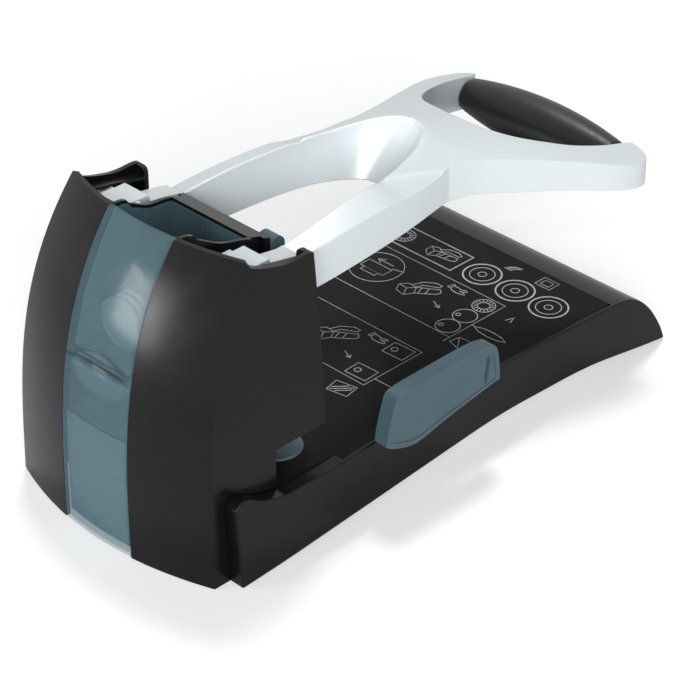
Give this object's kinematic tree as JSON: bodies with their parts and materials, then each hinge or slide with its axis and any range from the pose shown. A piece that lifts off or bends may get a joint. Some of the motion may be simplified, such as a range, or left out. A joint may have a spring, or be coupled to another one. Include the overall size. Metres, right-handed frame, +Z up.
{
  "type": "heavy-duty hole punch",
  "caption": "Desktop two-hole punch with a curved tower, a lever handle with a soft grip, hollow punches, cutting discs, a chip drawer and a sliding paper guide.",
  "frame": {"origin": "middle of the whole footprint, on the table", "axes": "+X to the side with the paper guide, +Y from the tower towards the handle's grip, +Z up"},
  "size_m": [0.1597, 0.3206, 0.1553],
  "materials": {
    "black_plastic": "satin moulded plastic",
    "black_rubber": "soft matt rubber",
    "black_steel": "satin black paint with light grey printed lines",
    "clear_slate": "see-through tinted plastic",
    "slate_plastic": "satin plastic",
    "silver_paint": "pale silver paint, satin",
    "zinc_steel": "zinc-plated sheet steel",
    "bright_steel": "ground and polished steel",
    "brass": "turned brass"
  },
  "bodies": {
    "machine_body": {"base_shell": "black_plastic", "base_plate": "black_steel", "base_pan": "zinc_steel", "front_right_foot": "black_rubber", "front_left_foot": "black_rubber", "rear_right_foot": "black_rubber", "rear_left_foot": "black_rubber", "centre_housing": "black_plastic", "storage_box": "clear_slate", "spare_disc_1": "slate_plastic", "spare_disc_2": "slate_plastic", "spare_disc_3": "slate_plastic", "paper_stop": "zinc_steel", "frame_screw_1": "zinc_steel", "base_screw_1": "zinc_steel", "frame_screw_2": "zinc_steel", "base_screw_2": "zinc_steel", "frame_screw_3": "zinc_steel", "base_screw_3": "zinc_steel", "frame_screw_4": "zinc_steel", "base_screw_4": "zinc_steel", "right_tower_cover": "black_plastic", "right_rear_cover": "black_plastic", "right_punch_frame": "zinc_steel", "right_axle": "bright_steel", "right_inner_axle_clip": "bright_steel", "right_outer_axle_clip": "bright_steel", "right_disc_post": "bright_steel", "right_guide_bush": "brass", "right_chip_chute": "black_plastic", "right_return_spring": "bright_steel", "left_tower_cover": "black_plastic", "left_rear_cover": "black_plastic", "left_punch_frame": "zinc_steel", "left_axle": "bright_steel", "left_inner_axle_clip": "bright_steel", "left_outer_axle_clip": "bright_steel", "left_disc_post": "bright_steel", "left_guide_bush": "brass", "left_chip_chute": "black_plastic", "left_return_spring": "bright_steel"},
    "lever": {"lever_frame": "silver_paint", "grip": "black_rubber", "grip_rod": "bright_steel"},
    "right_punch_unit": {"right_punch": "bright_steel", "right_yoke": "zinc_steel", "right_cross_pin": "bright_steel"},
    "left_punch_unit": {"left_punch": "bright_steel", "left_yoke": "zinc_steel", "left_cross_pin": "bright_steel"},
    "drawer": {"chip_drawer": "clear_slate"},
    "right_disc": {"right_cutting_disc": "slate_plastic"},
    "left_disc": {"left_cutting_disc": "slate_plastic"},
    "paper_guide": {"guide_fence": "slate_plastic", "guide_ruler": "zinc_steel"},
    "lock": {"lock_button": "slate_plastic"}
  },
  "joints": [
    {"name": "lever_hinge", "type": "hinge", "parent": "machine_body", "child": "lever", "pos_m": [-0.00335, -0.10645, 0.137], "axis": [1, 0, 0], "range_deg": [0, 45]},
    {"name": "right_punch_slide", "type": "slide", "parent": "machine_body", "child": "right_punch_unit", "axis": [0, 0, 1], "range_m": [0, 0.02079], "deforming": ["right_return_spring"]},
    {"name": "left_punch_slide", "type": "slide", "parent": "machine_body", "child": "left_punch_unit", "axis": [0, 0, 1], "range_m": [0, 0.02079], "deforming": ["left_return_spring"]},
    {"name": "right_disc_spin", "type": "hinge", "parent": "machine_body", "child": "right_disc", "pos_m": [0.03965, -0.08545, 0.0361], "axis": [0, 0, 1], "continuous": true},
    {"name": "left_disc_spin", "type": "hinge", "parent": "machine_body", "child": "left_disc", "pos_m": [-0.04635, -0.08545, 0.0361], "axis": [0, 0, 1], "continuous": true},
    {"name": "paper_guide_slide", "type": "slide", "parent": "machine_body", "child": "paper_guide", "axis": [1, 0, 0], "range_m": [0, 0.0731]},
    {"name": "drawer_slide", "type": "slide", "parent": "machine_body", "child": "drawer", "axis": [0, -1, 0], "range_m": [0, 0.055]},
    {"name": "lock_slide", "type": "slide", "parent": "machine_body", "child": "lock", "axis": [1, 0, 0], "range_m": [0, 0.0036]}
  ],
  "couplings": [
    {"joint": "right_punch_slide", "follows": "lever_hinge", "m_per_rad": 0.026463},
    {"joint": "left_punch_slide", "follows": "lever_hinge", "m_per_rad": 0.026463}
  ]
}
